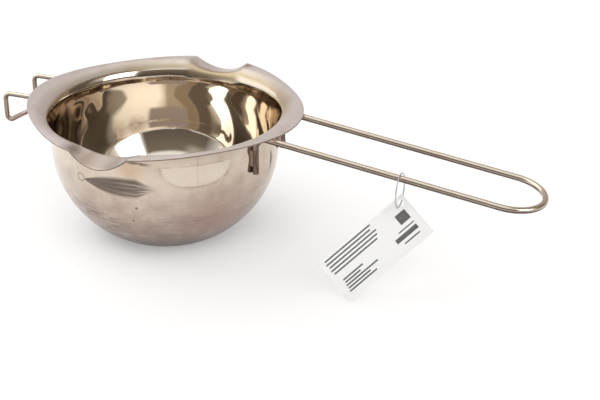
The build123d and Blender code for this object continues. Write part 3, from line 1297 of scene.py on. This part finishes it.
# %% Ring
ring_radius = 9.2 * mm
ring_wire_radius = 0.35 * mm
ring_gap = 0.3 * mm
ring_x = 145.6 * mm
ring_turn = math.radians(3)
ring_round = math.radians(359.2)
ring_drop = ring_radius - ring_wire_radius - ring_gap - handle_radius / math.cos(handle_slope)
ring_centre = Vector((ring_x, -half_gap, rod_height(ring_x) - ring_drop))
ring_axis = Vector((math.cos(ring_turn), math.sin(ring_turn), 0))

lay_bare()
bpy.ops.mesh.primitive_circle_add(
    vertices=16, radius=ring_wire_radius, location=ring_centre - Vector((0, 0, ring_radius)),
    rotation=(math.pi / 2, 0, math.pi + ring_turn))
ring = bpy.context.object
ring.name = "tag_ring_wire"
bpy.ops.object.transform_apply(location=True, rotation=True)
bpy.ops.object.mode_set(mode="EDIT")
bpy.ops.mesh.spin(steps=96, angle=ring_round, center=ring_centre, axis=ring_axis)
bpy.ops.mesh.select_all(action="SELECT")
bpy.ops.mesh.fill_holes(sides=0)
bpy.ops.mesh.normals_make_consistent(inside=False)
smooth(ring, sharpest=40)
thin = Finish("thin_wire")
thin.set(
    Base_Color=thin.blend(thin.cloud(400, 2), (0.45, 0.44, 0.44), (0.6, 0.59, 0.58)),
    Metallic=1.0,
    Roughness=0.28 + 0.1 * thin.cloud(800, 2),
)
ring.data.materials.append(thin.material)
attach(ring, "ring")
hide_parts("tag_ring")
print("ring", [round(size / mm, 1) for size in ring.dimensions], "mm")

# %% [markdown]
# ## Tag
#
# The tag is plain white card with rounded corners and a punched hole. It is made
# flat, with the hole at the origin: an outline and a circle, filled between them
# and then thickened. A boolean would cut the hole as well, but leaves long thin
# faces. Last, the card is turned and moved so that it hangs from the ring and
# its lowest corner nears the floor.

# %% Tag
tag_width, tag_length = 26.2 * mm, 57.6 * mm
tag_inset = 3.5 * mm
tag_thickness = 0.5 * mm
tag_corner = 1.2 * mm
hole_radius = 1.7 * mm
tag_hole = Vector((145.438, -16.303, 45.605)) * mm
tag_across = Vector((0.7628, -0.1752, -0.6224)).normalized()
tag_face = Vector((0.25, -0.8078, 0.5338)).normalized()
tag_along = tag_face.cross(tag_across).normalized()
tag_across = tag_along.cross(tag_face)
tag_turn = Matrix((tag_across, tag_along, tag_face)).transposed()

lay_bare()
bpy.ops.mesh.primitive_plane_add(
    size=1, location=(tag_width / 2 - tag_inset, tag_inset - tag_length / 2, 0))
tag = bpy.context.object
tag.name = "blank_tag"
tag.scale = (tag_width, tag_length, 1)
bpy.ops.object.transform_apply(location=True, scale=True)
bpy.ops.object.mode_set(mode="EDIT")
bpy.ops.mesh.bevel(offset=tag_corner, segments=5, affect="VERTICES")
bpy.ops.mesh.delete(type="ONLY_FACE")
bpy.ops.mesh.primitive_circle_add(vertices=32, radius=hole_radius, location=(0, 0, 0))
bpy.ops.mesh.select_all(action="SELECT")
bpy.ops.mesh.fill(use_beauty=True)
lay_bare()
apply_modifier(tag, "SOLIDIFY", thickness=tag_thickness, offset=0)
apply_modifier(tag, "BEVEL", width=0.08 * mm, segments=2, limit_method="ANGLE",
               angle_limit=math.radians(50))
tag.data.transform(Matrix.Translation(tag_hole) @ tag_turn.to_4x4())
smooth(tag, sharpest=30)
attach(tag, "tag")
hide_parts("hang_tag")
print("tag", [round(size / mm, 1) for size in tag.dimensions], "mm")

# %% [markdown]
# ## Finish of the tag
#
# The card is white with a trace of fibre, and plain dark bars lie on its front.
# They could be small meshes, but ink has no thickness. So each bar is a mask in
# the tag's own directions, across and along from the hole, and only the front
# face shows it.

# %% Finish of the tag
white_card, bright_card = (0.95, 0.95, 0.945), (0.98, 0.98, 0.975)
ink_black = (0.03, 0.03, 0.03)
across_blur, along_blur = 0.12, 0.15
# Where each bar starts across the tag, how wide it is, and its two ends, in millimetres
bar_places = (
    (3.4, 5.8, -7.6, -0.8),
    (-2.3, 1.0, -51.0, -20.0), (-0.3, 1.0, -51.5, -21.5), (1.7, 1.0, -51.0, -19.0),
    (3.7, 1.0, -51.5, -20.0), (5.7, 1.0, -51.0, -21.5), (11.0, 1.0, -49.5, -36.0),
    (12.7, 1.0, -49.5, -39.0), (14.4, 1.0, -50.0, -28.5), (16.1, 1.0, -50.0, -35.0),
    (17.8, 1.0, -50.5, -32.0), (11.2, 0.8, -11.5, -1.0), (13.2, 2.6, -15.5, -1.0),
    (17.4, 0.9, -12.5, -2.0),
)
board = Finish("white_card")


def from_hole(axis):
    """How far a spot of the card lies from the hole along one of the tag's own axes."""
    sockets = {0: board.spot, 1: tuple(axis)}
    reach = board.add("ShaderNodeVectorMath", {"operation": "DOT_PRODUCT"}, sockets)
    return (Amount(board.tree, reach.outputs["Value"]) - tag_hole.dot(axis)) * (1 / mm)


across, along, above = (from_hole(axis) for axis in (tag_across, tag_along, tag_face))
bars = 0
for start, width, low_end, high_end in bar_places:
    bar = across.band(start, start + width, across_blur, across_blur)
    bar = bar * along.band(low_end, high_end, along_blur, along_blur)
    bars = bar.most(bars)
fibre = board.cloud(900, 3)
card_white = board.blend(fibre, white_card, bright_card)
bars = bars * above.rise(0.1, 0.2) * (0.8 + 0.2 * fibre)
board.set(
    Base_Color=board.blend(bars, card_white, ink_black),
    Roughness=0.5 + 0.1 * fibre,
    Normal=board.bumps(fibre, 0.02 * mm, 0.3),
)
tag.data.materials.append(board.material)
print("tag finished, with", len(bar_places), "plain bars")
